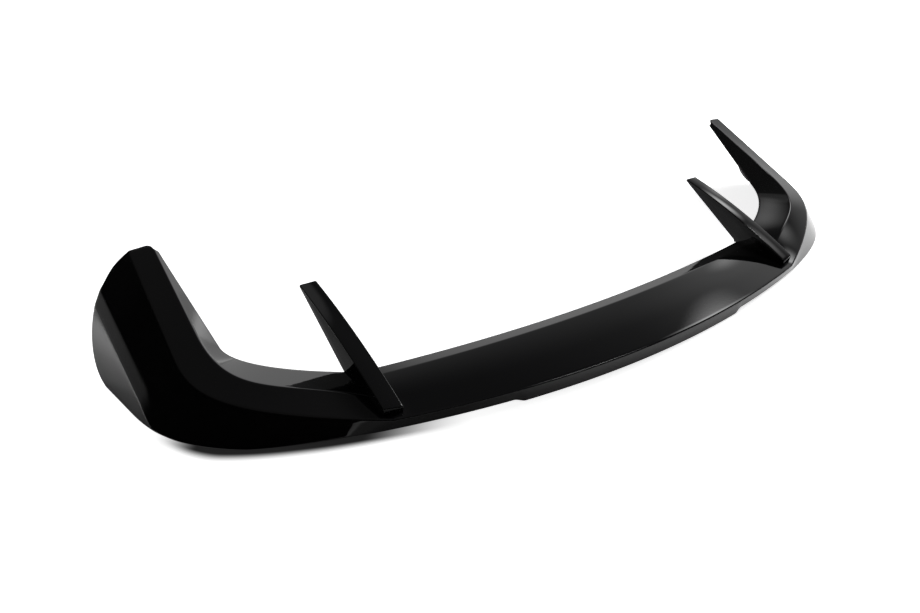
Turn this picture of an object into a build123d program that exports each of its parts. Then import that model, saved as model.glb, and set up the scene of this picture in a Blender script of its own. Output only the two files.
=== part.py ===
"""Roof spoiler for a hatchback: one moulded plastic shell, open below.

A thin bar carries the trailing edge. At each end it sweeps round a corner into an arm
that rises forwards, with a flared skirt outside it. Two fins stand on the bar and reach
forwards between the arms.

Frame: x to the right, y forwards, z up from the surface that the spoiler lies on. The
model is drawn with y = 0 at the trailing corners, then moved to its own centre.
All lengths are in millimetres.
"""

import os
from math import radians, tan

from build123d import *

# Overall sizes
WALL = 3.0
BAR_HALF = 350.0
BAR_BOW = 40.0
TRAIL_HEIGHT = 19.5
ARM_HALF = 529.0
ARM_TOE_IN = 5.0
ARM_START = 167.0
ARM_START_HEIGHT = 59.0
ARM_REACH = 330.0
ARM_PITCH = 17.8

# Top face, from the outer crease to the inner crease
TOP_DEPTH_AT_FIN = 41.5
TOP_RISE_AT_FIN = 1.5
TOP_WIDTH_AT_ROOT = 30.5
TOP_SETBACK_AT_ROOT = 19.0
TOP_RISE_AT_ROOT = 11.5
TOP_WIDTH_AT_TIP = 26.5
TOP_RISE_AT_TIP = 2.0

# Front slope, from the inner crease down to the foot
FOOT_DEPTH_AT_FIN = 106.0
FOOT_HEIGHT_AT_FIN = 10.7
SLOPE_WIDTH_AT_ROOT = 20.5
SLOPE_SETBACK_AT_ROOT = -5.0
SLOPE_DROP_AT_ROOT = 27.0
SLOPE_WIDTH_AT_TIP = 2.5
SLOPE_DROP_AT_TIP = 2.8

# Skirt outside each arm: flare, upper crease, lower crease, rim
LIP_LEAN = 2.0
LIP_DROP = 24.5
FLARE_AT_ROOT = 33.7
FLARE_AT_TIP = 42.3
FLARE_DROP = 29.6
CREASE_OUT = 9.5
CREASE_DROP = 12.8
RIM_OUT = 50.0
RIM_DROP = 91.0

# How each line leaves the bar, as shares of its way to the arm, and its pull along the arm
OUTER_LEAD = (0.92, 0.455, 0.50)
OUTER_PULL = 54.0
INNER_LEAD = (0.68, 0.344, 0.60)
INNER_PULL = 100.0
FOOT_LEAD = (0.63, 0.24, 0.64)
FOOT_PULL = 23.0
FLARE_LEAD = (1.09, 0.105, -1.38)
FLARE_PULL = 26.0

# Bar between the fins
CROWN_DEPTH_AT_FIN = 25.0
CREASE_DEPTH_AT_FIN = 83.0
CREASE_HEIGHT_AT_FIN = 15.0
BAR_FOOT_DEPTH_AT_FIN = 99.0
BAR_FOOT_HEIGHT_AT_FIN = 10.5
CROWN_DEPTH = 0.0
CROWN_HEIGHT = 20.3
CREASE_DEPTH = 57.0
CREASE_HEIGHT = 19.0
FOOT_DEPTH = 72.0
FOOT_HEIGHT = 12.6

# Fins
FIN_INSIDE = 336.0
FIN_WIDTH = 21.0
FIN_REAR = 6.5
FIN_REAR_SLANT = 5.3
FIN_STEP = 5.7
FIN_BACK_DEPTH = 114.5
FIN_BACK_HEIGHT = 56.0
FIN_REACH = 219.0
FIN_TIP_HEIGHT = 71.8
FIN_TIP_EDGE = 3.0
FIN_TIP_SOLID = 12.0
FIN_EDGE_BEVEL = 1.5

# Lower edges, seen from the side
LIP_HEIGHT = 4.0
REAR_RIM_DEPTH = 12.0
REAR_RIM_HEIGHT = 5.2
FLOOR_START = 55.0
FRONT_FOOT = 283.0
FRONT_LEAN = 20.2
FRONT_RADIUS = 94.0

# Small tab under each arm's inside edge, measured along the edge
TAB_START = 11.0
TAB_PEAK = 30.0
TAB_END = 54.0
TAB_DEPTH = 4.6

# Rib under the middle of the bar
RIB_SETBACK = 17.0
RIB_HALF = 262.0
RIB_SLOPE = 7.0

ROOMY = 2.0 * ARM_HALF


def swept_line(start, join, tip, lead, pull):
    """Control points of a line that sweeps from the bar round the corner and out along the arm."""
    start, join, tip = Vector(start), Vector(join), Vector(tip)
    way = join - start
    along = (tip - join).normalized()
    leave = Vector(way.X * lead[0], way.Y * lead[1], way.Z * lead[2])
    return [start, start + leave, join - along * pull, join, tip]


def beside(line, outward, out, drop):
    """The same line, moved outwards and down."""
    return [point + way * out - Vector(0, 0, drop) for point, way in zip(line, outward)]


def inset(section, outward):
    """One cross-section's points moved inwards by the wall, with mitred corners."""
    flat = [Vector(point.dot(outward), point.Z) for point in section]
    normals = []
    for here, there in zip(flat, flat[1:]):
        run = (there - here).normalized()
        normals.append(Vector(-run.Y, run.X))
    before = [normals[0]] + normals
    after = normals + [normals[-1]]
    moved = []
    for point, one, two in zip(section, before, after):
        shift = (one + two) * (WALL / (1 + one.dot(two)))
        moved.append(point + outward * shift.X + Vector(0, 0, shift.Y))
    return moved


def arm_lines():
    """Control points of the lines round one arm's outside, from the skirt's rim to the front foot."""
    tip_height = ARM_START_HEIGHT + (ARM_REACH - ARM_START) * tan(radians(ARM_PITCH))
    corner = (BAR_HALF, 0, TRAIL_HEIGHT)
    root = Vector(ARM_HALF, ARM_START, ARM_START_HEIGHT)
    tip = Vector(ARM_HALF - ARM_TOE_IN, ARM_REACH, tip_height)
    outer = swept_line(corner, root, tip, OUTER_LEAD, OUTER_PULL)

    inner_root = root + Vector(-TOP_WIDTH_AT_ROOT, TOP_SETBACK_AT_ROOT, TOP_RISE_AT_ROOT)
    inner_tip = tip + Vector(-TOP_WIDTH_AT_TIP, 0, TOP_RISE_AT_TIP)
    inner_start = (BAR_HALF, TOP_DEPTH_AT_FIN, TRAIL_HEIGHT + TOP_RISE_AT_FIN)
    inner = swept_line(inner_start, inner_root, inner_tip, INNER_LEAD, INNER_PULL)

    foot_root = inner_root + Vector(-SLOPE_WIDTH_AT_ROOT, SLOPE_SETBACK_AT_ROOT, -SLOPE_DROP_AT_ROOT)
    foot_tip = inner_tip + Vector(-SLOPE_WIDTH_AT_TIP, 0, -SLOPE_DROP_AT_TIP)
    foot_start = (BAR_HALF, FOOT_DEPTH_AT_FIN, FOOT_HEIGHT_AT_FIN)
    foot = swept_line(foot_start, foot_root, foot_tip, FOOT_LEAD, FOOT_PULL)

    flare_start = (BAR_HALF, LIP_LEAN, TRAIL_HEIGHT - LIP_DROP)
    flare_root = root + Vector(FLARE_AT_ROOT, 0, -FLARE_DROP)
    flare_tip = tip + Vector(FLARE_AT_TIP, 0, -FLARE_DROP)
    flare = swept_line(flare_start, flare_root, flare_tip, FLARE_LEAD, FLARE_PULL)

    behind = Vector(0, -1)
    leaving = Vector(outer[1].Y - outer[0].Y, outer[0].X - outer[1].X).normalized()
    sideways = Vector(1, 0)
    outward = [behind, leaving, sideways, sideways, sideways]
    lower = beside(flare, outward, CREASE_OUT, CREASE_DROP)
    rim = beside(lower, outward, RIM_OUT, RIM_DROP)
    return [rim, lower, flare, outer, inner, foot], outward


def right_arm():
    """The corner and arm as a closed wall: a skin between the lines, and the same skin inset."""
    lines, outward = arm_lines()
    sections = [list(points) for points in zip(*lines)]
    insides = [inset(points, way) for points, way in zip(sections, outward)]
    rings = [points + inside[::-1] for points, inside in zip(sections, insides)]
    faces = []
    edges = [(Bezier(*line[:4]), Line(*line[3:])) for line in zip(*rings)]
    for here, there in zip(edges, edges[1:] + edges[:1]):
        for one, two in zip(here, there):
            faces.append(Face.make_surface_from_curves(Edge(one.wrapped), Edge(two.wrapped)))
    for ring in (rings[0], rings[-1]):
        faces.append(Face(Wire.make_polygon(ring)))
    return Solid(Shell(faces))


def bar_section(x, trail, crown, crease, foot):
    """The bar's wall cut across at x: lip, top face, crowned front and front slope."""
    lip = (trail[0] + LIP_LEAN, trail[1] - LIP_DROP)
    top = Line(trail, crown)
    front = TangentArc(crown, crease, tangent=top % 1)
    skin = Wire([Line(lip, trail), top, front, Line(crease, foot)])
    wall = skin.offset_2d(WALL, kind=Kind.INTERSECTION, side=Side.RIGHT)
    return Plane.YZ.offset(x) * Face(wall)


def bar():
    """The bar from trailing corner to trailing corner."""
    share = CROWN_DEPTH_AT_FIN / TOP_DEPTH_AT_FIN
    crown = (CROWN_DEPTH_AT_FIN, TRAIL_HEIGHT + TOP_RISE_AT_FIN * share)
    crease = (CREASE_DEPTH_AT_FIN, CREASE_HEIGHT_AT_FIN)
    foot = (BAR_FOOT_DEPTH_AT_FIN, BAR_FOOT_HEIGHT_AT_FIN)
    ends = [bar_section(x, (0, TRAIL_HEIGHT), crown, crease, foot) for x in (-BAR_HALF, BAR_HALF)]
    middle = bar_section(
        0,
        (-BAR_BOW, TRAIL_HEIGHT),
        (CROWN_DEPTH, CROWN_HEIGHT),
        (CREASE_DEPTH, CREASE_HEIGHT),
        (FOOT_DEPTH, FOOT_HEIGHT),
    )
    return loft([ends[0], middle, ends[1]])


def fin_back(drop=0.0):
    """The fin's arched back, from over the trailing corners to its tip, seen from the side."""
    rear = (0, TRAIL_HEIGHT + FIN_STEP - drop)
    back = (FIN_BACK_DEPTH, FIN_BACK_HEIGHT - drop)
    tip = (FIN_REACH, FIN_TIP_HEIGHT - drop)
    return ThreePointArc(rear, back, tip)


def fin_plan(wall, reach):
    """The fin seen from above, with its rear end slanted along the trailing edge."""
    left, right = FIN_INSIDE + wall, FIN_INSIDE + FIN_WIDTH - wall
    rear = FIN_REAR + wall
    points = [(left, rear), (right, rear + FIN_REAR_SLANT), (right, reach), (left, reach)]
    return make_face(Polyline(points, close=True))


def right_fin():
    """A solid fin on the bar, with bevelled edges along its back."""
    sunk = WALL / 2
    back = fin_back()
    under = Polyline(
        back @ 1,
        (FIN_REACH - FIN_TIP_EDGE / 2, FIN_TIP_HEIGHT - FIN_TIP_EDGE),
        (FOOT_DEPTH_AT_FIN, FOOT_HEIGHT_AT_FIN + WALL / 2),
        (FOOT_DEPTH_AT_FIN - sunk, FOOT_HEIGHT_AT_FIN - sunk),
        (CREASE_DEPTH_AT_FIN, CREASE_HEIGHT_AT_FIN - sunk),
        (CROWN_DEPTH_AT_FIN, TRAIL_HEIGHT - sunk),
        (0, TRAIL_HEIGHT - sunk),
        back @ 0,
    )
    fin = extrude(Plane.YZ.offset(FIN_INSIDE) * make_face(back + under), FIN_WIDTH)
    fin = chamfer(fin.edges().filter_by(GeomType.CIRCLE), FIN_EDGE_BEVEL)
    return fin & extrude(fin_plan(0, FIN_REACH + FIN_WIDTH), ROOMY)


def right_channel():
    """The hollow under the fin, open below."""
    back = fin_back(WALL)
    under = Polyline(back @ 1, (FIN_REACH, -WALL), (0, -WALL), back @ 0)
    hollow = extrude(Plane.YZ.offset(FIN_INSIDE) * make_face(back + under), FIN_WIDTH)
    return hollow & extrude(fin_plan(WALL, FIN_REACH - FIN_TIP_SOLID), ROOMY, both=True)


def right_tab():
    """The small rounded tab under the arm's inside edge."""
    lines, _ = arm_lines()
    root, tip = lines[-1][3:]
    along = (tip - root).normalized()
    edge = Plane(origin=root, x_dir=along, z_dir=along.cross(Vector(0, 0, 1)))
    sunk = WALL / 2
    round_end = ThreePointArc((TAB_START, 0), (TAB_PEAK, -TAB_DEPTH), (TAB_END, 0))
    back = Polyline(round_end @ 1, (TAB_END, sunk), (TAB_START, sunk), round_end @ 0)
    return extrude(edge * make_face(round_end + back), WALL)


def room():
    """What is left inside the lower edges, seen from the side: lip, rims and the skirts' front ends."""
    lean = ROOMY * tan(radians(FRONT_LEAN))
    outline = Polyline(
        (-ROOMY, LIP_HEIGHT),
        (-BAR_BOW, LIP_HEIGHT),
        (REAR_RIM_DEPTH, REAR_RIM_HEIGHT),
        (FLOOR_START, 0),
        (FRONT_FOOT, 0),
        (FRONT_FOOT + lean, ROOMY),
        (-ROOMY, ROOMY),
        close=True,
    )
    side = make_face(outline)
    side = fillet(side.vertices().sort_by_distance((FRONT_FOOT, 0, 0))[0], FRONT_RADIUS)
    return extrude(Plane.YZ * side, ROOMY, both=True)


def rib():
    """The rib under the middle of the bar, which follows the trailing edge."""
    lines = []
    for setback in (RIB_SETBACK, RIB_SETBACK + WALL):
        ends = [(x, setback) for x in (-BAR_HALF, BAR_HALF)]
        lines.append(ThreePointArc(ends[0], (0, setback - BAR_BOW), ends[1]))
    caps = [Line(lines[0] @ at, lines[1] @ at) for at in (0, 1)]
    plan = extrude(make_face(lines + caps), TRAIL_HEIGHT - WALL / 2)
    foot, top = RIB_HALF - RIB_SLOPE, RIB_HALF
    face = make_face(Polyline((-foot, 0), (foot, 0), (top, TRAIL_HEIGHT), (-top, TRAIL_HEIGHT), close=True))
    return plan & extrude(Plane.XZ * face, ROOMY, both=True)


def main():
    """Joins the pieces of the moulding, trims its lower edges and writes it out."""
    channel = right_channel()
    shell = bar()
    for piece in (right_arm(), right_fin(), right_tab()):
        shell += [piece, mirror(piece, about=Plane.YZ)]
    shell -= [channel, mirror(channel, about=Plane.YZ)]
    shell = shell & room()
    shell += rib()
    box = shell.bounding_box()
    shell = Pos(-box.center().X, -box.center().Y, -box.min.Z) * shell
    os.makedirs("parts", exist_ok=True)
    export_step(shell, "parts/spoiler_shell.step")


main()
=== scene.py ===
"""Roof spoiler in gloss black plastic, laid out as a Blender add-on and run as a script.

The moulding is one shell: a bowed bar with its trailing edge, a corner and a rising arm at
each end with a flared skirt, and fins that stand on the bar. Lengths in the shape code are
in millimetres, drawn with y = 0 at the trailing corners, and become metres in the frame.
"""

from math import radians, sin, sqrt, tan

import bmesh
import bpy
import numpy as np
from bpy.props import FloatProperty, FloatVectorProperty, PointerProperty
from mathutils import Matrix, Vector


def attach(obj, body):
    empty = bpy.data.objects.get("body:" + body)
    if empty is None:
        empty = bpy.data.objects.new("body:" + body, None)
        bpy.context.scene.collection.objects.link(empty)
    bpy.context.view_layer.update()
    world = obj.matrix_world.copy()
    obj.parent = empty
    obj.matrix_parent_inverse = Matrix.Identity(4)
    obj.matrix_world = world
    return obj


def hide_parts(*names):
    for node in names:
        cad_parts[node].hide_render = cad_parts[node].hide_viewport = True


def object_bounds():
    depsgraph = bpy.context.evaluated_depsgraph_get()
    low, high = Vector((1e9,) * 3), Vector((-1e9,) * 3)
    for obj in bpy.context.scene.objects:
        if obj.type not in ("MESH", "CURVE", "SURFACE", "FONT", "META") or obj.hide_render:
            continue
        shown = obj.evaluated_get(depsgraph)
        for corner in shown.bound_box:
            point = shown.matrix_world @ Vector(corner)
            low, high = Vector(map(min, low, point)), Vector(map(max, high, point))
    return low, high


bl_info = {
    "name": "Roof spoiler",
    "version": (1, 0, 0),
    "blender": (4, 5, 0),
    "location": "View3D > Sidebar > Spoiler",
    "description": "Gloss black roof spoiler moulding with its fins, and a white studio",
    "category": "Object",
}

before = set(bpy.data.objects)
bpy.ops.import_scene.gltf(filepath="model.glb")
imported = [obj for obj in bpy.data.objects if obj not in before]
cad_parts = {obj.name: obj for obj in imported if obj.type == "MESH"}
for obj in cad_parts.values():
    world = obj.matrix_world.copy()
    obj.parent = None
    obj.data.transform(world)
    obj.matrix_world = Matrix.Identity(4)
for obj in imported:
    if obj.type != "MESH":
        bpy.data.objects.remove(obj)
CAD_BOX = [list(corner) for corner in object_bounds()]
NODE = "spoiler_shell"
MM = 0.001

# Bar and arms
BAR_HALF = 350.0
BAR_BOW = 40.0
TRAIL_HEIGHT = 19.5
ARM_HALF = 529.0
ARM_TOE_IN = 5.0
ARM_START = 167.0
ARM_START_HEIGHT = 59.0
ARM_REACH = 330.0
ARM_PITCH = 17.8

# Top face and front slope
TOP_AT_FIN = (41.5, 1.5)
TOP_AT_ROOT = (-30.5, 19.0, 11.5)
TOP_AT_TIP = (-26.5, 0.0, 2.0)
FOOT_AT_FIN = (100.5, 16.2)
SLOPE_AT_ROOT = (-24.5, -5.0, -27.0)
SLOPE_AT_TIP = (-3.3, 0.0, -3.0)

# Skirt
LIP_LEAN = 2.0
LIP_DROP = 24.5
FLARE_AT_ROOT = 33.7
FLARE_AT_TIP = 42.3
FLARE_DROP = 29.6
CREASE_OUT, CREASE_DROP = 9.5, 12.8
RIM_OUT, RIM_DROP = 50.0, 91.0

# How each line leaves the bar, and its pull along the arm
OUTER_LEAD, OUTER_PULL = (0.92, 0.455, 0.50), 54.0
INNER_LEAD, INNER_PULL = (0.68, 0.344, 0.60), 100.0
FOOT_LEAD, FOOT_PULL = (0.63, 0.24, 0.64), 23.0
FLARE_LEAD, FLARE_PULL = (1.09, 0.105, -1.38), 26.0

# Bar sections at the middle and at the fins, as depth and height:
# trailing edge, crown, crease and foot
BAR_MIDDLE = ((-BAR_BOW, TRAIL_HEIGHT), (0.0, 20.3), (56.5, 19.0), (75.0, 13.8))
BAR_END = ((0.0, TRAIL_HEIGHT), (25.0, 20.4), (80.5, 18.2), (97.5, 15.8))

# Fins
FIN_INSIDE = 334.8
FIN_WIDTH = 23.2
FIN_REAR = 6.5
FIN_REAR_SLANT = 5.3
FIN_BACK = ((0.0, TRAIL_HEIGHT + 5.7), (114.5, 56.0), (219.0, 71.8))
FIN_TIP_EDGE = 3.0
FIN_TIP_SOLID = 12.0

# Edges of a fin that get rounded: sharper than this angle and over this height
FIN_SHARP = radians(20)
FIN_CLEAR = 21.0

# Lower edges, seen from the side
LOW_DEPTHS = (-BAR_BOW, 12.0, 55.0)
LOW_HEIGHTS = (4.0, 5.2, 0.0)
TONGUE_HALF, TONGUE_SLOPE = 204.0, 16.0
TONGUE_HEIGHT = 0.4
TONGUE_LEAN = -1.0
FRONT_FOOT = 283.0
FRONT_LEAN = radians(20.2)
FRONT_RADIUS = 94.0
FRONT_BULGE = 5.0
BULGE_HEIGHT, BULGE_REACH = 95.0, 22.0
TIP_RADIUS = 8.0

# Tab under each arm and rib under the bar
TAB_ARC = ((11.0, 0.0), (30.0, -4.6), (54.0, 0.0))
RIB_SETBACK = 17.0
RIB_HALF = 262.0
RIB_SLOPE = 7.0

# Where the trailing edge gets softer: 0 to 1 goes round the corner, 1 to 2 along the arm
BEND_START, BEND_END = (0.15, 0.65), (0.75, 1.3)
ARM_SOFTENS = (0.5, 1.2)

# Rounding inside the wall, and the share of a face that a rounding may take
LINING_ROUND = 0.4
ROUND_ROOM = 0.45

# How fine the mesh is
CREASE_STEPS, EDGE_STEPS, RIM_STEPS = 5, 7, 3
TOP_STEPS, BAR_TOP_STEPS, ARM_TOP_STEPS = 18, 24, 8
LIP_STEPS, SKIRT_STEPS, RIM_ROWS = 14, 4, 15
RIM_START = 2.2
SLOPE_SHARES = (0.08, 0.2, 0.35, 0.5, 0.65, 0.8, 0.93)
FRONT_SHARES = (0.03, 0.07, 0.12, 0.18, 0.25, 0.32, 0.4, 0.48)
FRONT_SHARES += (0.56, 0.64, 0.72, 0.8, 0.87, 0.93, 0.97, 1)
FRONT_STATIONS = 161
TONGUE_STATIONS, STEP_STATIONS, OUTER_STATIONS = 24, 9, 19
CORNER_STATIONS, CORNER_GAP = 65, 6.0
RIB_STATIONS, TAB_STATIONS, FIN_STATIONS = 61, 17, 41
MERGE, THIN = 0.01, 0.005
SHARP_ANGLE = radians(34)

# Clouds and dust specks in the gloss: where they show, their roughness and the dust's cover
CLOUD_SHOWS, CLOUD_ROUGH = (0.35, 0.75), 0.02
SPECK_EDGE, SPECK_PICKED = (0.015, 0.04), (0.6, 0.68)
SPECK_ROUGH, SPECK_COVER = 0.3, 0.5
PLASTIC_IOR = 1.5

# Floor in metres: its radius, and the soft borders of the zones of painted shade, where the floor
# looks darker in the gloss
FLOOR_RADIUS, FLOOR_SIDES = 14.0, 96
INSIDE_X, INSIDE_Y = ((-0.56, -0.44), (0.28, 0.36)), ((-0.1, -0.04), (0.12, 0.3))
BEHIND_X, BEHIND_Y = ((-0.62, -0.5), (-0.3, -0.08)), ((-0.4, -0.25), (-0.1, -0.06))

# Painted contact shadow on the floor along the rear left rim, in metres: a curve that bends round
# the corner
SHADOW_MIDDLE, SHADOW_OUT = 0.36, 0.4921
SHADOW_SLOPE, SHADOW_BEND = 0.6, 0.0651
SHADOW_WIDENS, SHADOW_WIDER = (-0.03, 0.05), 0.011
SHADOW_NARROWS, SHADOW_NARROWER = (0.14, 0.26), 0.004
SHADOW_ACROSS = ((-0.006, 0.008), (0.03, 0.06))
SHADOW_ALONG = ((-0.04, 0.02), (0.18, 0.3))
SHADOW_DARK = 0.985

# Glow of the floor, in metres or squared metres from the middle: whiter far off,
# and painted light in the gloss, brighter to the right and towards the horizon
NEAR_X, FAR_SQUARED = (-0.45, 0.0), (0.8, 2.5)
RIGHT_X, RIGHT_GLOW = ((-0.2, 1.0), (1.2, 2.0)), 0.4
HORIZON_Y, HORIZON_SQUARED, HORIZON_GLOW = (0.0, 1.0), (0.5, 4.0), 0.45

# Ways to the band, the glow and the patch, how well they must agree, and angles over the floor
FRONT_WAY, RIGHT_WAY, PATCH_WAY = (0.35, 0.85), (0.75, 0.65), (0.207, 0.636, 0.743)
BAND_SIDES, GLOW_SIDES, PATCH_SIDES = (-0.05, 0.45), (0.45, 0.98), (0.976, 0.992)
BAND_ANGLES, CEILING_ANGLES, GLOW_ANGLES = (14, 27), (32, 60), (26, 46)

# How lamps fade: where each starts, is full, starts to end and ends, as shares across and up
BOX_FADE = (0, 0.4, 0.6, 1), (0, 0.4, 0.6, 1)
PANEL_FADE = (0.05, 0.4, 0.55, 0.85), (0.0, 0.3, 0.36, 0.65)
SPOT_FADE = (0, 0.5, 0.5, 1), (0, 0.5, 0.5, 1)

# Lamps in drawing millimetres: name, place, aim, size and power.
# The soft spots are mirrored in the right end.
FLOOR_LIGHT = ("floor light", (2060, 463, 680), (0, 60, 0), (600, 600), 65)
LEFT_LIGHT = ("left floor light", (-1000, 600, 1200), (-1000, 601, 0), (500, 500), 1.8)
LEFT_SPREAD = radians(40)
SOFT_BOX = ("soft box", (1211, 314, 1824), (0, 100, 0), (300, 760), 11)
SIDE_PANEL = ("side panel", (1250, 520, 750), (150, 60, 250), (1500, 1500), 2.8)
SOFT_SPOTS = (
    ("side spot", (1397, 627, 1016), (344, 147, 62), (380, 380), 2.3),
    ("slope spot", (552, 266, 174), (430, 114, 34), (90, 90), 0.02),
    ("corner spot", (1430, 255, 1083), (380, 45, 33), (480, 480), 0.9),
)

# Camera in drawing metres
CAMERA_PLACE = (-0.6997, -0.5561, 0.6135)
CAMERA_RIGHT = (0.8222, -0.5643, 0.0743)
CAMERA_UP = (0.2653, 0.4954, 0.8271)
CAMERA_BACK = (-0.5036, -0.6603, 0.5570)
LENS, SENSOR = 31.62, 36


class ShellSizes(bpy.types.PropertyGroup):
    """Sizes of the moulding that a maker would change."""

    wall: FloatProperty(
        name="Wall",
        description="Thickness of the moulding",
        default=3.0 * MM,
        unit="LENGTH",
    )
    edge_round: FloatProperty(
        name="Trailing edge",
        description="Width of the rounding along the trailing edge",
        default=3.2 * MM,
        unit="LENGTH",
    )
    bend_round: FloatProperty(
        name="Edge at the bend",
        description="Extra rounding of the edge round the corners",
        default=9.0 * MM,
        unit="LENGTH",
    )
    arm_round: FloatProperty(
        name="Edge on the arms",
        description="Extra rounding of the edge along the arms",
        default=2.5 * MM,
        unit="LENGTH",
    )
    ridge_round: FloatProperty(
        name="Inner crease",
        description="Width of the rounding along the inner crease",
        default=3.0 * MM,
        unit="LENGTH",
    )
    skirt_round: FloatProperty(
        name="Skirt creases",
        description="Width of the rounding along the skirt's creases",
        default=3.0 * MM,
        unit="LENGTH",
    )
    rim_round: FloatProperty(
        name="Rim",
        description="Rounding of the moulding's cut edges",
        default=0.9 * MM,
        unit="LENGTH",
    )
    fin_round: FloatProperty(
        name="Fin edges",
        description="Rounding of the fins' edges",
        default=1.8 * MM,
        unit="LENGTH",
    )


class FinishValues(bpy.types.PropertyGroup):
    """Colour and gloss of the plastic."""

    black: FloatVectorProperty(
        name="Plastic",
        description="Colour of the plastic",
        default=(0.0045, 0.0045, 0.005),
        subtype="COLOR",
        size=3,
    )
    dust: FloatVectorProperty(
        name="Dust",
        description="Colour of the dust specks",
        default=(0.16, 0.155, 0.15),
        subtype="COLOR",
        size=3,
    )
    gloss: FloatProperty(
        name="Roughness",
        description="Roughness of the clean gloss",
        default=0.02,
        min=0.0,
        max=1.0,
        subtype="FACTOR",
    )


class StudioValues(bpy.types.PropertyGroup):
    """Light and floor of the studio."""

    floor: FloatVectorProperty(
        name="Floor",
        description="Colour of the floor",
        default=(0.9, 0.9, 0.9),
        subtype="COLOR",
        size=3,
    )
    floor_white: FloatProperty(
        name="Floor glow",
        description="White added to the floor where the camera sees it",
        default=0.82,
        min=0.0,
        max=1.0,
    )
    floor_mirrored: FloatProperty(
        name="Mirrored glow",
        description="White added to the floor where the gloss mirrors it",
        default=0.2,
        min=0.0,
        max=1.0,
    )
    # Painted shade: how much the floor that the gloss mirrors is darkened close to the moulding
    shade: FloatProperty(
        name="Floor shade",
        description="Darkening of the mirrored floor close to the moulding",
        default=0.68,
        min=0.0,
        max=1.0,
    )
    band: FloatProperty(
        name="Low band",
        description="Brightness of the low band in front",
        default=0.65,
        min=0.0,
    )
    ceiling: FloatProperty(
        name="Ceiling",
        description="Brightness of the dim ceiling",
        default=0.085,
        min=0.0,
    )
    patch: FloatProperty(
        name="Front patch",
        description="Brightness of the soft patch in front",
        default=0.25,
        min=0.0,
    )
    glow: FloatProperty(
        name="Right glow",
        description="Brightness towards the right",
        default=0.24,
        min=0.0,
    )
    dark: FloatProperty(
        name="Dark",
        description="Brightness of the dark part",
        default=0.004,
        min=0.0,
    )


def swept_line(start, join, tip, lead, pull):
    """Control points of a line that sweeps from the bar round the corner and out along the arm."""
    start, join, tip = (np.array(point, float) for point in (start, join, tip))
    along = (tip - join) / np.linalg.norm(tip - join)
    return np.array([start, start + (join - start) * lead, join - along * pull, join, tip])


def inset(section, outward, wall):
    """One cross-section's points moved inwards by the wall, with mitred corners."""
    flat = np.array([(point @ outward, point[2]) for point in section])
    run = np.diff(flat, axis=0)
    run /= np.linalg.norm(run, axis=1)[:, None]
    normals = np.c_[-run[:, 1], run[:, 0]]
    before = np.vstack([normals[:1], normals])
    after = np.vstack([normals, normals[-1:]])
    shift = (before + after) * (wall / (1 + (before * after).sum(1)))[:, None]
    return section + shift[:, :1] * outward + shift[:, 1:] * np.array([0, 0, 1.0])


def arm_lines(wall):
    """Lines round one arm, outside and inside, from the skirt's rim to the front foot."""
    rise = (ARM_REACH - ARM_START) * tan(radians(ARM_PITCH))
    root = np.array([ARM_HALF, ARM_START, ARM_START_HEIGHT])
    tip = np.array([ARM_HALF - ARM_TOE_IN, ARM_REACH, ARM_START_HEIGHT + rise])
    outer = swept_line((BAR_HALF, 0, TRAIL_HEIGHT), root, tip, OUTER_LEAD, OUTER_PULL)
    inner_start = (BAR_HALF, TOP_AT_FIN[0], TRAIL_HEIGHT + TOP_AT_FIN[1])
    inner_root, inner_tip = root + TOP_AT_ROOT, tip + TOP_AT_TIP
    inner = swept_line(inner_start, inner_root, inner_tip, INNER_LEAD, INNER_PULL)
    foot_ends = inner_root + SLOPE_AT_ROOT, inner_tip + SLOPE_AT_TIP
    foot = swept_line((BAR_HALF, *FOOT_AT_FIN), *foot_ends, FOOT_LEAD, FOOT_PULL)
    flare_ends = root + (FLARE_AT_ROOT, 0, -FLARE_DROP), tip + (FLARE_AT_TIP, 0, -FLARE_DROP)
    flare_start = (BAR_HALF, LIP_LEAN, TRAIL_HEIGHT - LIP_DROP)
    flare = swept_line(flare_start, *flare_ends, FLARE_LEAD, FLARE_PULL)
    leaving = np.array([outer[1, 1] - outer[0, 1], outer[0, 0] - outer[1, 0], 0])
    leaving /= np.linalg.norm(leaving)
    outward = np.array([(0, -1, 0), leaving, (1, 0, 0), (1, 0, 0), (1, 0, 0)], float)
    lower = flare + outward * CREASE_OUT - (0, 0, CREASE_DROP)
    rim = lower + outward * RIM_OUT - (0, 0, RIM_DROP)
    skin = np.array([rim, lower, flare, outer, inner, foot])
    lining = np.array([inset(skin[:, i], outward[i], wall) for i in range(5)])
    return skin, lining.transpose(1, 0, 2)


def on_line(line, way):
    """Points of a swept line: 0 to 1 goes round the corner, 1 to 2 out along the arm."""
    t = np.clip(way, 0, 1)[:, None]
    bend = (1 - t) ** 3 * line[0] + 3 * (1 - t) ** 2 * t * line[1]
    bend += 3 * (1 - t) * t**2 * line[2] + t**3 * line[3]
    return bend + np.clip(way - 1, 0, None)[:, None] * (line[4] - line[3])


def unit(vectors):
    return vectors / np.maximum(np.linalg.norm(vectors, axis=-1, keepdims=True), 1e-9)


def rounded(before, corner, after, setback, steps):
    """Rows of a round corner, from the side of before to the side of after."""
    one, two = before - corner, after - corner
    room = ROUND_ROOM * np.minimum(np.linalg.norm(one, axis=-1), np.linalg.norm(two, axis=-1))
    reach = np.minimum(setback, room)[..., None]
    one, two = unit(one), unit(two)
    turn = np.clip(-(one * two).sum(-1, keepdims=True), -1, 1)
    weight = np.sqrt((1 + turn) / 2)
    rows = []
    for t in np.linspace(0, 1, steps + 1):
        pull = 2 * t * (1 - t) * weight
        total = (1 - t) ** 2 + pull + t**2
        start, end = corner + reach * one, corner + reach * two
        rows.append(((1 - t) ** 2 * start + pull * corner + t**2 * end) / total)
    return np.stack(rows, axis=1)


def fill(start, end, shares):
    """Rows between two rows, at the given shares of the way."""
    return np.stack([start + (end - start) * share for share in shares], axis=1)


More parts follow.
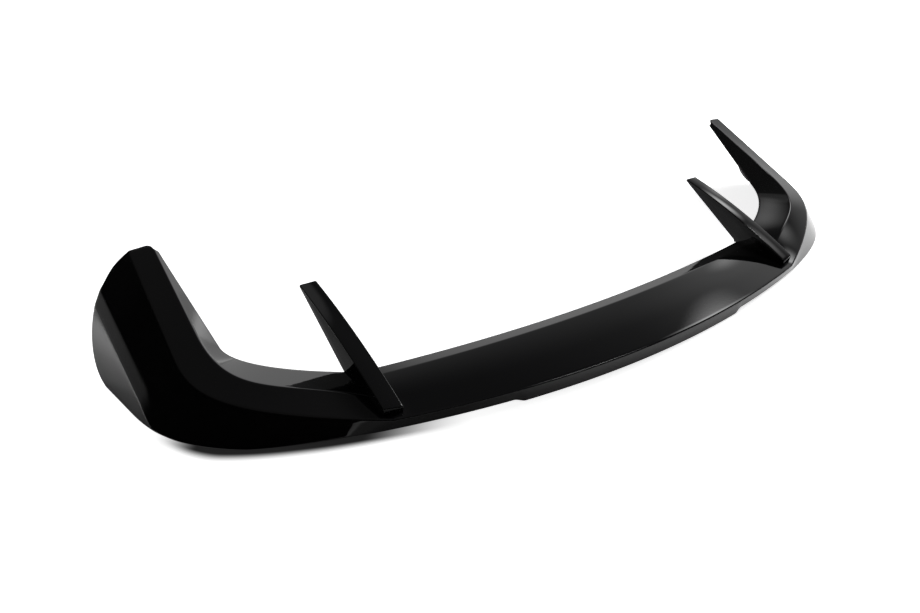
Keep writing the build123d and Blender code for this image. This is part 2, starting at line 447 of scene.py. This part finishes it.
def between(steps):
    """Even shares from 0 to 1, without the ends."""
    return np.arange(1, steps) / steps


def low_edge(points):
    """Height of the lower edges under each point: a tongue goes lower in the middle of the bar."""
    edge = np.interp(points[..., 1], LOW_DEPTHS, LOW_HEIGHTS)
    beside = smooth(np.abs(points[..., 0]), TONGUE_HALF - TONGUE_SLOPE, TONGUE_HALF)
    return TONGUE_HEIGHT + (edge - TONGUE_HEIGHT) * beside


def cut_low(chain, level):
    """Where a chain of rows going down meets the lower edge, and the rows kept above it."""
    height = chain[..., 2] - low_edge(chain) - level
    first = np.maximum((height < 0).argmax(axis=1), 1)
    rows = np.arange(len(chain))
    over, under = height[rows, first - 1], height[rows, first]
    share = (over / (over - under))[:, None]
    meet = chain[rows, first - 1] * (1 - share) + chain[rows, first] * share
    kept = np.where((height < 0)[..., None], meet[:, None], chain)
    return meet, kept


# Rows down to the rim, closer together near it
RIM_SHARES = 1 - (1 - between(RIM_ROWS)) ** 2


def skin_rows(rim, lower, flare, edge, top, foot, sizes):
    """Rows of one skin: from the foot over the top and down to the lower edge.

    top holds the rows of the top face from the edge to the ridge, ends included.
    """
    ridge = top[:, -1]
    ridge_round = rounded(foot, ridge, top[:, -2], sizes["ridge"], CREASE_STEPS)
    edge_round = rounded(top[:, 1], edge, flare, sizes["edge"], EDGE_STEPS)
    share = np.linspace(0, 1, top.shape[1])
    face = []
    for s in np.linspace(0, 1, TOP_STEPS + 1)[1:-1]:
        i = int(np.searchsorted(share, s) - 1)
        f = (s - share[i]) / (share[i + 1] - share[i])
        face.append(top[:, i] * (1 - f) + top[:, i + 1] * f)
    face = np.stack(face[::-1], axis=1)
    flare_round = rounded(edge, flare, lower, sizes["skirt"], CREASE_STEPS)
    lower_round = rounded(flare, lower, rim, sizes["skirt"], CREASE_STEPS)
    chain = np.concatenate(
        [
            edge_round,
            fill(edge_round[:, -1], flare_round[:, 0], between(LIP_STEPS)),
            flare_round,
            fill(flare_round[:, -1], lower_round[:, 0], between(SKIRT_STEPS)),
            lower_round,
            rim[:, None],
        ],
        axis=1,
    )
    meet, kept = cut_low(chain, RIM_START * sizes["rim"])
    corner, _ = cut_low(chain, 0)
    kept = kept[:, :-1]
    down = np.concatenate([kept, fill(kept[:, -1], meet, RIM_SHARES), meet[:, None]], axis=1)
    slope = fill(foot, ridge_round[:, 0], SLOPE_SHARES)
    return slope, np.concatenate([ridge_round, face, down], axis=1), corner


def rings(outside, inside, sizes):
    """Closed rings through the wall at every station: outer skin, rim, lining and foot."""
    slope, skin, corner = skin_rows(*outside, sizes)
    sharp = dict.fromkeys(("edge", "ridge", "skirt"), LINING_ROUND)
    under, lining, inner_corner = skin_rows(*inside, dict(sizes, **sharp))
    foot, inner_foot = outside[-1], inside[-1]
    rim = sizes["rim"]
    parts = [
        rounded(inner_foot, foot, slope[:, -1], rim, RIM_STEPS),
        slope,
        skin,
        rounded(skin[:, -1], corner, inner_corner, rim, RIM_STEPS),
        rounded(corner, inner_corner, lining[:, -1], rim, RIM_STEPS),
        lining[:, ::-1],
        under[:, ::-1],
        rounded(under[:, -1], inner_foot, foot, rim, RIM_STEPS),
    ]
    return np.concatenate(parts, axis=1)


def smooth(value, low, high):
    """0 below low, 1 above high, smooth between."""
    t = np.clip((value - low) / (high - low), 0, 1)
    return t * t * (3 - 2 * t)


def arm_rings(way, sizes, skin, lining):
    """Rings round the corner and out along the arm; the trailing edge softens round the bend."""
    bend = smooth(way, *BEND_START) * (1 - smooth(way, *BEND_END))
    arm = smooth(way, *ARM_SOFTENS)
    sizes = dict(sizes, edge=sizes["edge"] + sizes["bend"] * bend + sizes["arm"] * arm)
    sides = []
    for lines in (skin, lining):
        rim, lower, flare, edge, ridge, foot = (on_line(line, way) for line in lines)
        top = fill(edge, ridge, np.linspace(0, 1, ARM_TOP_STEPS + 1))
        sides.append((rim, lower, flare, edge, top, foot))
    return rings(*sides, sizes)


def bar_side(x, wall):
    """The bar's skin or, with a wall, its lining at every x."""
    q = (x / BAR_HALF)[:, None] ** 2
    pairs = zip(np.array(BAR_MIDDLE), np.array(BAR_END))
    trail, crown, crease, foot = (middle + (end - middle) * q for middle, end in pairs)
    slope = (crown[:, 1] - trail[:, 1]) / (crown[:, 0] - trail[:, 0])
    depth = crease[:, 0] - crown[:, 0]
    bend = (crown[:, 1] + slope * depth - crease[:, 1]) / depth**2
    share = np.linspace(0, 1, BAR_TOP_STEPS + 1)
    y = trail[:, :1] + (crease - trail)[:, :1] * share
    past = np.clip(y - crown[:, :1], 0, None)
    z = trail[:, 1:] + slope[:, None] * (y - trail[:, :1]) - bend[:, None] * past**2
    lean = np.stack([-(slope[:, None] - 2 * bend[:, None] * past), np.ones_like(y)], axis=-1)
    top = np.stack([y, z], axis=-1) - unit(lean) * wall
    beside = smooth(np.abs(x), TONGUE_HALF - TONGUE_SLOPE, TONGUE_HALF)
    lean_back = TONGUE_LEAN + (LIP_LEAN - TONGUE_LEAN) * beside
    lip = trail + np.stack([lean_back, np.full_like(x, -LIP_DROP)], axis=-1)
    back = unit(np.stack([-(lip - trail)[:, 1], (lip - trail)[:, 0]], axis=-1)) * -1
    front = unit(np.stack([-(foot - crease)[:, 1], (foot - crease)[:, 0]], axis=-1))
    if wall:
        top[:, 0] = mitre(trail, back, unit(lean[:, 0]), wall)
        top[:, -1] = mitre(crease, unit(lean[:, -1]), front, wall)
        lip = lip - back * wall
        foot = foot - front * wall
    lower = lip + (-CREASE_OUT, -CREASE_DROP)
    rim = lower + (-RIM_OUT, -RIM_DROP)

    def place(rows):
        wide = np.broadcast_to(x.reshape((-1,) + (1,) * (rows.ndim - 2)), rows.shape[:-1])
        return np.concatenate([wide[..., None], rows], axis=-1)

    return tuple(place(rows) for rows in (rim, lower, lip, top[:, 0], top, foot))


def mitre(corner, one, two, wall):
    """A corner moved inwards by the wall, with outward normals one and two."""
    return corner - (one + two) * (wall / (1 + (one * two).sum(-1, keepdims=True)))


def front_gap(points, ridge_x):
    """How far each point is behind the arm's front end.

    The end leans and is full in side view, and is rounded inside in plan.
    """
    x, y, z = points[..., 0], points[..., 1], points[..., 2]
    half = (radians(90) + FRONT_LEAN) / 2
    centre = FRONT_FOOT - FRONT_RADIUS / tan(half)
    swell = np.clip((z - BULGE_HEIGHT) / BULGE_REACH, -1, 1)
    bulge = FRONT_BULGE * np.cos(swell * radians(90)) ** 2
    inside = TIP_RADIUS - np.clip(x - ridge_x[:, None], 0, TIP_RADIUS)
    bulge -= TIP_RADIUS - np.sqrt(TIP_RADIUS**2 - inside**2)
    gap = (FRONT_FOOT + z * tan(FRONT_LEAN) + bulge - y) * np.cos(FRONT_LEAN)
    dy, dz = y - centre, z - FRONT_RADIUS
    below = (dy > 0) & (dz * np.cos(FRONT_LEAN) + dy * np.sin(FRONT_LEAN) < 0)
    return np.where(below, FRONT_RADIUS - np.hypot(dy, dz), gap)


def arm_to_front(sizes, skin, lining):
    """Rings out along the arm, each row running to where it meets the front edge."""
    way = np.linspace(1, 2, FRONT_STATIONS)
    dense = arm_rings(way, sizes, skin, lining)
    gap = front_gap(dense, on_line(skin[4], way)[:, 0])
    gap[0] = np.maximum(gap[0], 1e-6)
    first = np.maximum((gap < 0).argmax(axis=0), 1)
    rows = np.arange(dense.shape[1])
    share = gap[first - 1, rows] / (gap[first - 1, rows] - gap[first, rows])
    ends = (way[first - 1] + share * (way[1] - way[0]) - 1) / (way[1] - way[0])
    out = []
    for s in FRONT_SHARES:
        at = ends * s
        low = np.minimum(at.astype(int), len(way) - 2)
        f = (at - low)[:, None]
        out.append(dense[low, rows] * (1 - f) + dense[low + 1, rows] * f)
    end = out.pop()
    cap = rounded(out[-1], end, end[::-1], sizes["rim"], RIM_STEPS)
    return np.concatenate([np.stack(out), cap.transpose(1, 0, 2)])


def shell_mesh(settings):
    """The moulding without its fins: one closed wall from one arm's tip to the other's."""
    names = ("edge", "bend", "arm", "ridge", "skirt", "rim")
    sizes = {name: getattr(settings, f"{name}_round") / MM for name in names}
    wall = settings.wall / MM
    skin, lining = arm_lines(wall)
    step = TONGUE_HALF - TONGUE_SLOPE
    x = np.concatenate(
        [
            np.linspace(0, step, TONGUE_STATIONS),
            np.linspace(step, TONGUE_HALF, STEP_STATIONS)[1:],
            np.linspace(TONGUE_HALF, BAR_HALF - CORNER_GAP, OUTER_STATIONS)[1:],
        ]
    )
    bar = rings(bar_side(x, 0.0), bar_side(x, wall), sizes)
    corner = arm_rings(np.linspace(0, 1, CORNER_STATIONS), sizes, skin, lining)
    half = np.concatenate([bar, corner, arm_to_front(sizes, skin, lining)])
    whole = np.concatenate([half[:0:-1] * (-1, 1, 1), half])
    stations, rows = whole.shape[:2]
    index = np.arange(stations * rows).reshape(stations, rows)
    here, ahead = index[:-1], index[1:]
    quads = np.stack(
        [here, np.roll(here, -1, axis=1), np.roll(ahead, -1, axis=1), ahead], axis=-1
    ).reshape(-1, 4)
    caps = []
    for end, turn in ((index[0], 1), (index[-1], -1)):
        for j in range(rows // 2 - 1):
            caps.append([end[j], end[j + 1], end[rows - 2 - j], end[rows - 1 - j]][::turn])
    return whole.reshape(-1, 3), quads.tolist() + caps


def to_frame(points):
    """Drawing millimetres to metres in the frame."""
    return (points + (0, CAD_BOX[0][1] / MM + BAR_BOW, 0)) * MM


def new_piece(name, points, faces):
    """A mesh object with doubled points merged and its faces turned outwards."""
    mesh = bpy.data.meshes.new(name)
    places = to_frame(np.asarray(points, float)).tolist()
    mesh.from_pydata(places, [], [list(map(int, face)) for face in faces])
    work = bmesh.new()
    work.from_mesh(mesh)
    bmesh.ops.remove_doubles(work, verts=work.verts, dist=MERGE * MM)
    bmesh.ops.dissolve_degenerate(work, dist=THIN * MM, edges=work.edges)
    bmesh.ops.recalc_face_normals(work, faces=work.faces)
    work.to_mesh(mesh)
    work.free()
    piece = bpy.data.objects.new(name, mesh)
    bpy.context.scene.collection.objects.link(piece)
    return piece


def circle_through(points, ys):
    """Heights at ys of the circle through three points, on its upper side."""
    (y1, z1), (y2, z2), (y3, z3) = points
    lines = np.array([[y2 - y1, z2 - z1], [y3 - y1, z3 - z1]]) * 2
    sums = [y2**2 - y1**2 + z2**2 - z1**2, y3**2 - y1**2 + z3**2 - z1**2]
    cy, cz = np.linalg.solve(lines, sums)
    side = 1 if z2 > cz else -1
    radius = np.hypot(y1 - cy, z1 - cz)
    return cz + side * np.sqrt(radius**2 - (np.asarray(ys) - cy) ** 2)


def fin_side(x, start, end, drop, under):
    """One side of a fin at x: its arched back from start to end, then its lower points."""
    ys = np.linspace(start, end, FIN_STATIONS)
    back = np.c_[ys, circle_through(FIN_BACK, ys) - drop]
    return np.array([(x, y, z) for y, z in np.vstack([back, under])])


def prism(one, two):
    """A closed piece between two like outlines."""
    n = len(one)
    sides = [[i, (i + 1) % n, n + (i + 1) % n, n + i] for i in range(n)]
    return np.vstack([one, two]), sides + [list(range(n))[::-1], list(range(n, 2 * n))]


def make_fin(settings):
    """One solid fin, with rounded edges."""
    wall = settings.wall / MM
    sunk = wall / 2
    reach, tip = FIN_BACK[2]
    outlines = []
    for x, start in ((FIN_INSIDE, FIN_REAR), (FIN_INSIDE + FIN_WIDTH, FIN_REAR + FIN_REAR_SLANT)):
        under = [
            (reach - FIN_TIP_EDGE / 2, tip - FIN_TIP_EDGE),
            (FOOT_AT_FIN[0], FOOT_AT_FIN[1] + sunk),
            (FOOT_AT_FIN[0] - sunk, FOOT_AT_FIN[1] - sunk),
            (BAR_END[2][0], BAR_END[2][1] - sunk),
            (BAR_END[1][0], TRAIL_HEIGHT - sunk),
            (start, TRAIL_HEIGHT - sunk),
        ]
        outlines.append(fin_side(x, start, reach, 0, under))
    fin = new_piece("fin", *prism(*outlines))
    work = bmesh.new()
    work.from_mesh(fin.data)
    edges = [
        edge
        for edge in work.edges
        if edge.calc_face_angle(0) > FIN_SHARP and max(v.co.z for v in edge.verts) > FIN_CLEAR * MM
    ]
    bmesh.ops.bevel(
        work,
        geom=edges,
        offset=settings.fin_round,
        segments=CREASE_STEPS,
        profile=0.5,
        affect="EDGES",
        clamp_overlap=True,
    )
    work.to_mesh(fin.data)
    work.free()
    return fin


def make_channel(settings):
    """The hollow under a fin."""
    wall = settings.wall / MM
    end = FIN_BACK[2][0] - FIN_TIP_SOLID
    inside = FIN_INSIDE + wall, FIN_REAR + wall
    outside = FIN_INSIDE + FIN_WIDTH - wall, FIN_REAR + FIN_REAR_SLANT + wall
    outlines = []
    for x, start in (inside, outside):
        outlines.append(fin_side(x, start, end, wall, [(end, -wall), (start, -wall)]))
    return new_piece("fin_hollow", *prism(*outlines))


def make_tab(settings):
    """The small rounded tab under the arm's inside edge."""
    wall = settings.wall / MM
    skin, _ = arm_lines(wall)
    root, tip = skin[-1, 3], skin[-1, 4]
    along = unit(tip - root)
    out = unit(np.cross(along, (0, 0, 1)))
    up = np.cross(out, along)
    s = np.linspace(TAB_ARC[0][0], TAB_ARC[2][0], TAB_STATIONS)
    mirrored = [(a, -b) for a, b in TAB_ARC]
    arc = np.c_[s, -circle_through(mirrored, s)]
    outline = np.vstack([arc, [(s[-1], wall / 2), (s[0], wall / 2)]])
    flat = np.array([root + along * a + up * b + out * wall / 2 for a, b in outline])
    return new_piece("tab", *prism(flat, flat + out * wall))


def make_rib(settings):
    """The rib under the bar, which follows the trailing edge."""
    wall = settings.wall / MM
    share = np.linspace(-1, 1, RIB_STATIONS)
    top = TRAIL_HEIGHT - wall / 2
    rows = []
    for setback, height in ((0, 0), (wall, 0), (wall, top), (0, top)):
        x = share * (RIB_HALF - RIB_SLOPE + RIB_SLOPE * height / TRAIL_HEIGHT)
        y = RIB_SETBACK + setback - BAR_BOW * (1 - (x / BAR_HALF) ** 2)
        rows.append(np.c_[x, y, np.full_like(x, height)])
    points = np.stack(rows, axis=1)
    index = np.arange(len(share) * 4).reshape(-1, 4)
    faces = [
        [index[i, j], index[i, (j + 1) % 4], index[i + 1, (j + 1) % 4], index[i + 1, j]]
        for i in range(len(share) - 1)
        for j in range(4)
    ]
    return new_piece("rib", points.reshape(-1, 3), faces + [index[0].tolist(), index[-1].tolist()])


def pair_tree():
    """Geometry nodes that add a mirror image across the car's middle."""
    tree = bpy.data.node_groups.new("mirrored pair", "GeometryNodeTree")
    tree.interface.new_socket("Geometry", in_out="INPUT", socket_type="NodeSocketGeometry")
    tree.interface.new_socket("Finish", in_out="INPUT", socket_type="NodeSocketMaterial")
    tree.interface.new_socket("Geometry", in_out="OUTPUT", socket_type="NodeSocketGeometry")
    nodes, links = tree.nodes, tree.links
    start, end = nodes.new("NodeGroupInput"), nodes.new("NodeGroupOutput")
    turn, flip = nodes.new("GeometryNodeTransform"), nodes.new("GeometryNodeFlipFaces")
    turn.inputs["Scale"].default_value = (-1, 1, 1)
    join, real = nodes.new("GeometryNodeJoinGeometry"), nodes.new("GeometryNodeRealizeInstances")
    paint = nodes.new("GeometryNodeSetMaterial")
    links.new(start.outputs["Geometry"], turn.inputs["Geometry"])
    links.new(turn.outputs["Geometry"], flip.inputs["Mesh"])
    links.new(start.outputs["Geometry"], join.inputs["Geometry"])
    links.new(flip.outputs["Mesh"], join.inputs["Geometry"])
    links.new(join.outputs["Geometry"], real.inputs["Geometry"])
    links.new(real.outputs["Geometry"], paint.inputs["Geometry"])
    links.new(start.outputs["Finish"], paint.inputs["Material"])
    links.new(paint.outputs["Geometry"], end.inputs["Geometry"])
    return tree


def settle(piece):
    """Turns a piece's modifiers into plain mesh."""
    graph = bpy.context.evaluated_depsgraph_get()
    mesh = bpy.data.meshes.new_from_object(piece.evaluated_get(graph))
    piece.modifiers.clear()
    piece.data = mesh
    return piece


def make_pair(piece, tree, finish):
    """A piece and its mirror image as one plain mesh."""
    nodes = piece.modifiers.new("pair", "NODES")
    nodes.node_group = tree
    for item in tree.interface.items_tree:
        if item.name == "Finish":
            nodes[item.identifier] = finish
    return settle(piece)


def combine(base, other, operation):
    """Adds another piece to the base, or cuts it out, and deletes it."""
    change = base.modifiers.new(operation.lower(), "BOOLEAN")
    change.operation = operation
    change.solver = "MANIFOLD"
    change.object = other
    settle(base)
    bpy.data.objects.remove(other)


def named(sockets, name):
    """A node's socket by its identifier, or by its name with spaces written as underscores."""
    return next(s for s in sockets if s.identifier == name or s.name == name.replace("_", " "))


class Value:
    """A shader socket in Python expressions: each operation adds a Math node to its tree."""

    def __init__(self, tree, socket=None):
        self.tree, self.socket = tree, socket

    def add(self, kind, out, settings=None, **inputs):
        """A node of any type, with its settings and the values or links of its sockets."""
        node = self.tree.nodes.new(kind)
        for name, value in (settings or {}).items():
            setattr(node, name, value)
        for name, value in inputs.items():
            self.feed(named(node.inputs, name), value)
        return Value(self.tree, named(node.outputs, out))

    def feed(self, socket, value):
        """Sets a socket to a number or a colour, or links it to a value."""
        if isinstance(value, Value):
            self.tree.links.new(value.socket, socket)
        else:
            socket.default_value = value

    def maths(self, operation, *values):
        node = self.tree.nodes.new("ShaderNodeMath")
        node.operation = operation
        for socket, value in zip(node.inputs, values):
            self.feed(socket, value)
        return Value(self.tree, node.outputs[0])

    def __add__(self, other):
        return self.maths("ADD", self, other)

    __radd__ = __add__

    def __sub__(self, other):
        return self.maths("SUBTRACT", self, other)

    def __rsub__(self, other):
        return self.maths("SUBTRACT", other, self)

    def __mul__(self, other):
        return self.maths("MULTIPLY", self, other)

    __rmul__ = __mul__

    def ramp(self, low, high):
        """0 below low, 1 above high, smooth between."""
        smoothly = {"interpolation_type": "SMOOTHSTEP"}
        limits = {"From_Min": low, "From_Max": high}
        return self.add("ShaderNodeMapRange", "Result", smoothly, Value=self, **limits)

    def within(self, rise, fall):
        """1 between two soft borders, 0 outside them."""
        return self.ramp(*rise) * (1 - self.ramp(*fall))

    def root(self):
        return self.maths("SQRT", self)


def gloss_black(values):
    """Piano black plastic: a faint orange peel, soft cloudy gloss and a little dust."""
    material = bpy.data.materials.new("gloss black plastic")
    material.use_nodes = True
    tree = material.node_tree
    shader = tree.nodes["Principled BSDF"]
    place = Value(tree).add("ShaderNodeTexCoord", "Object")

    def noise(**inputs):
        return place.add("ShaderNodeTexNoise", "Fac", Vector=place, **inputs)

    clouds = noise(Scale=9.0, Detail=3.0, Roughness=0.55)
    peel = noise(Scale=260.0, Detail=1.0, Roughness=0.4)
    pick = noise(Scale=31.0, Detail=1.0)
    cells = place.add("ShaderNodeTexVoronoi", "Distance", Vector=place, Scale=70.0, Randomness=1.0)
    speck = (1 - cells.ramp(*SPECK_EDGE)) * pick.ramp(*SPECK_PICKED)
    colour = place.add(
        "ShaderNodeMix",
        "Result_Color",
        {"data_type": "RGBA"},
        Factor=speck * SPECK_COVER,
        A_Color=(*values.black, 1),
        B_Color=(*values.dust, 1),
    )
    rough = values.gloss + clouds.ramp(*CLOUD_SHOWS) * CLOUD_ROUGH + speck * SPECK_ROUGH
    bump = place.add("ShaderNodeBump", "Normal", Height=peel, Strength=0.02, Distance=0.0005)
    place.feed(shader.inputs["Base Color"], colour)
    place.feed(shader.inputs["Roughness"], rough)
    place.feed(shader.inputs["Normal"], bump)
    place.feed(shader.inputs["IOR"], PLASTIC_IOR)
    return material


class SPOILER_OT_moulding(bpy.types.Operator):
    """Makes the spoiler's shell with its fins, rib and tabs."""

    bl_idname = "spoiler.moulding"
    bl_label = "Spoiler moulding"

    def execute(self, context):
        sizes = context.scene.spoiler_shell
        finish = gloss_black(context.scene.spoiler_finish)
        shell = new_piece("spoiler_moulding", *shell_mesh(sizes))
        tree = pair_tree()
        combine(shell, make_pair(make_fin(sizes), tree, finish), "UNION")
        combine(shell, make_pair(make_tab(sizes), tree, finish), "UNION")
        combine(shell, make_rib(sizes), "UNION")
        combine(shell, make_pair(make_channel(sizes), tree, finish), "DIFFERENCE")
        mesh = shell.data
        mesh.materials.clear()
        mesh.materials.append(finish)
        mesh.polygons.foreach_set("material_index", [0] * len(mesh.polygons))
        mesh.polygons.foreach_set("use_smooth", [True] * len(mesh.polygons))
        mesh.set_sharp_from_angle(angle=SHARP_ANGLE)
        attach(shell, "root")
        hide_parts(NODE)
        return {"FINISHED"}


def rays(start, *kinds):
    """Which rays see the surface, 1 or 0 for each kind."""
    return [start.add("ShaderNodeLightPath", f"Is {kind} Ray") for kind in kinds]


def axes(start, place, names):
    """A vector's numbers along the named axes."""
    return [start.add("ShaderNodeSeparateXYZ", name, Vector=place) for name in names]


def painted_rim_shadow(x, y):
    """Painted contact shadow on the floor along the rear left rim: 1 is darkest."""
    out, along = (x + y) * sqrt(0.5), (x - y) * sqrt(0.5) + SHADOW_MIDDLE
    wider = along.ramp(*SHADOW_WIDENS) * SHADOW_WIDER
    wider = wider - along.ramp(*SHADOW_NARROWS) * SHADOW_NARROWER
    bend = (along * along * SHADOW_SLOPE**2 + SHADOW_BEND**2).root()
    gap = out + wider + SHADOW_OUT - bend
    return gap.within(*SHADOW_ACROSS) * along.within(*SHADOW_ALONG) * SHADOW_DARK


def white_floor(values):
    """White to the camera, with the lamps' shadow and a painted contact shadow; dimmer where the
    gloss mirrors it, with painted shade near the moulding and painted light to the right and
    towards the horizon.
    """
    material = bpy.data.materials.new("white floor")
    material.use_nodes = True
    tree = material.node_tree
    tree.nodes.remove(tree.nodes["Principled BSDF"])
    start = Value(tree)
    camera, glossy, through = rays(start, "Camera", "Glossy", "Transmission")
    x, y = axes(start, start.add("ShaderNodeTexCoord", "Object"), "XY")
    squared = x * x + y * y
    inside = x.within(*INSIDE_X) * y.within(*INSIDE_Y)
    behind = x.within(*BEHIND_X) * y.within(*BEHIND_Y)
    # Painted shade: where the gloss mirrors it, the floor is darkened inside the arms and behind
    # the left half of the bar
    shade = 1 - glossy * (1 - (1 - inside) * (1 - behind)) * values.shade
    # Painted shadow: the camera sees the floor darkened beside the rear left rim
    contact = 1 - camera * painted_rim_shadow(x, y)
    red, green, blue = (shade * contact * part for part in values.floor)
    grey = start.add("ShaderNodeCombineColor", "Color", Red=red, Green=green, Blue=blue)
    diffuse = start.add("ShaderNodeBsdfDiffuse", "BSDF", Color=grey)
    far = 1 - x.ramp(*NEAR_X) * (1 - squared.ramp(*FAR_SQUARED))
    white = values.floor_white + far * (1 - values.floor_white)
    # Painted light: where the gloss mirrors it, the floor glows brighter to the right and towards
    # the horizon in front
    rise = x.within(*RIGHT_X) * RIGHT_GLOW
    horizon = squared.ramp(*HORIZON_SQUARED) * y.ramp(*HORIZON_Y) * HORIZON_GLOW
    mirrored = shade * (rise + values.floor_mirrored) + horizon
    strength = camera * contact * white + glossy * mirrored + through * values.floor_white
    glow = start.add("ShaderNodeEmission", "Emission", Strength=strength)
    both = start.add("ShaderNodeAddShader", "Shader", Shader=diffuse, Shader_001=glow)
    start.feed(tree.nodes["Material Output"].inputs["Surface"], both)
    return material


def above(height, angles):
    """0 below the first angle over the floor, 1 above the second, in degrees."""
    return height.ramp(*(sin(radians(angle)) for angle in angles))


def towards(way, direction):
    """How well a way agrees with a direction."""
    return sum(part * share for part, share in zip(way, direction))


class SPOILER_OT_studio(bpy.types.Operator):
    """Makes the floor, the studio's light and the camera."""

    bl_idname = "spoiler.studio"
    bl_label = "White studio"

    def execute(self, context):
        values = context.scene.spoiler_studio
        self.floor(values)
        self.world(context.scene, values)
        self.lamps()
        self.camera(context.scene)
        context.scene.view_settings.view_transform = "Standard"
        return {"FINISHED"}

    def floor(self, values):
        """A round white floor that keeps the shadow."""
        mesh = bpy.data.meshes.new("floor")
        work = bmesh.new()
        bmesh.ops.create_circle(work, cap_ends=True, segments=FLOOR_SIDES, radius=FLOOR_RADIUS)
        work.to_mesh(mesh)
        work.free()
        mesh.materials.append(white_floor(values))
        floor = bpy.data.objects.new("floor", mesh)
        bpy.context.scene.collection.objects.link(floor)

    def world(self, scene, values):
        """White to the camera; the gloss mirrors a low band, a ceiling, a glow and a patch."""
        world = bpy.data.worlds.new("studio")
        scene.world = world
        world.use_nodes = True
        tree = world.node_tree
        back = tree.nodes["Background"]
        back.inputs["Color"].default_value = (1, 1, 1, 1)
        start = Value(tree)
        way = axes(start, start.add("ShaderNodeTexCoord", "Generated"), "XYZ")
        height = way[2]
        band = towards(way, FRONT_WAY).ramp(*BAND_SIDES) * (1 - above(height, BAND_ANGLES))
        ceiling = above(height, CEILING_ANGLES)
        right = towards(way, RIGHT_WAY).ramp(*GLOW_SIDES) * (1 - above(height, GLOW_ANGLES))
        patch = towards(way, PATCH_WAY).ramp(*PATCH_SIDES)
        studio = band * values.band + ceiling * values.ceiling + values.dark
        studio = studio + right * values.glow + patch * values.patch
        camera, through = rays(start, "Camera", "Transmission")
        seen = camera + through
        start.feed(back.inputs["Strength"], studio * (1 - seen) + seen)

    def lamps(self):
        """Two lamps for the floor, and soft lamps at the right that the gloss mirrors."""
        self.lamp(*FLOOR_LIGHT, mirrored=False)
        left = self.lamp(*LEFT_LIGHT, mirrored=False)
        left.spread = LEFT_SPREAD
        self.fade(self.lamp(*SOFT_BOX), *BOX_FADE)
        self.fade(self.lamp(*SIDE_PANEL), *PANEL_FADE)
        for spot in SOFT_SPOTS:
            self.fade(self.lamp(*spot), *SPOT_FADE)

    def fade(self, lamp, across, up):
        """Fades a lamp out towards its edges."""
        tree = lamp.node_tree
        start = Value(tree)
        x, y = axes(start, start.add("ShaderNodeNewGeometry", "Parametric"), "XY")
        strength = x.within(across[:2], across[2:]) * y.within(up[:2], up[2:])
        start.feed(tree.nodes["Emission"].inputs["Strength"], strength)

    def lamp(self, name, place, aim, size, power, mirrored=True):
        """An area lamp in drawing millimetres, turned to its aim."""
        lamp = bpy.data.lights.new(name, "AREA")
        lamp.shape = "RECTANGLE"
        lamp.size, lamp.size_y = (side * MM for side in size)
        lamp.energy = power
        lamp.use_nodes = True
        piece = bpy.data.objects.new(name, lamp)
        start, end = (Vector(to_frame(np.array(spot, float))) for spot in (place, aim))
        turn = (end - start).to_track_quat("-Z", "Y")
        piece.matrix_world = Matrix.Translation(start) @ turn.to_matrix().to_4x4()
        piece.visible_camera = False
        piece.visible_glossy = mirrored
        bpy.context.scene.collection.objects.link(piece)
        return lamp

    def camera(self, scene):
        """The photograph's viewpoint."""
        data = bpy.data.cameras.new("camera")
        data.sensor_width = SENSOR
        data.sensor_fit = "HORIZONTAL"
        data.lens = LENS
        camera = bpy.data.objects.new("camera", data)
        turn = Matrix((CAMERA_RIGHT, CAMERA_UP, CAMERA_BACK)).transposed().to_quaternion()
        place = to_frame(np.array(CAMERA_PLACE) / MM)
        camera.matrix_world = Matrix.Translation(place) @ turn.to_matrix().to_4x4()
        scene.collection.objects.link(camera)
        scene.camera = camera


class SPOILER_PT_panel(bpy.types.Panel):
    """Sizes, finish and steps of the spoiler."""

    bl_label = "Roof spoiler"
    bl_idname = "SPOILER_PT_panel"
    bl_space_type = "VIEW_3D"
    bl_region_type = "UI"
    bl_category = "Spoiler"

    def draw(self, context):
        scene = context.scene
        for group in (scene.spoiler_shell, scene.spoiler_finish, scene.spoiler_studio):
            box = self.layout.box()
            for name in group.__annotations__:
                box.prop(group, name)
        self.layout.operator("spoiler.moulding")
        self.layout.operator("spoiler.studio")


CLASSES = (
    ShellSizes,
    FinishValues,
    StudioValues,
    SPOILER_OT_moulding,
    SPOILER_OT_studio,
    SPOILER_PT_panel,
)


def register():
    for cls in CLASSES:
        bpy.utils.register_class(cls)
    bpy.types.Scene.spoiler_shell = PointerProperty(type=ShellSizes)
    bpy.types.Scene.spoiler_finish = PointerProperty(type=FinishValues)
    bpy.types.Scene.spoiler_studio = PointerProperty(type=StudioValues)


def unregister():
    for name in ("spoiler_shell", "spoiler_finish", "spoiler_studio"):
        delattr(bpy.types.Scene, name)
    for cls in reversed(CLASSES):
        bpy.utils.unregister_class(cls)


def main():
    register()
    bpy.ops.spoiler.moulding()
    bpy.ops.spoiler.studio()


if __name__ == "__main__":
    main()
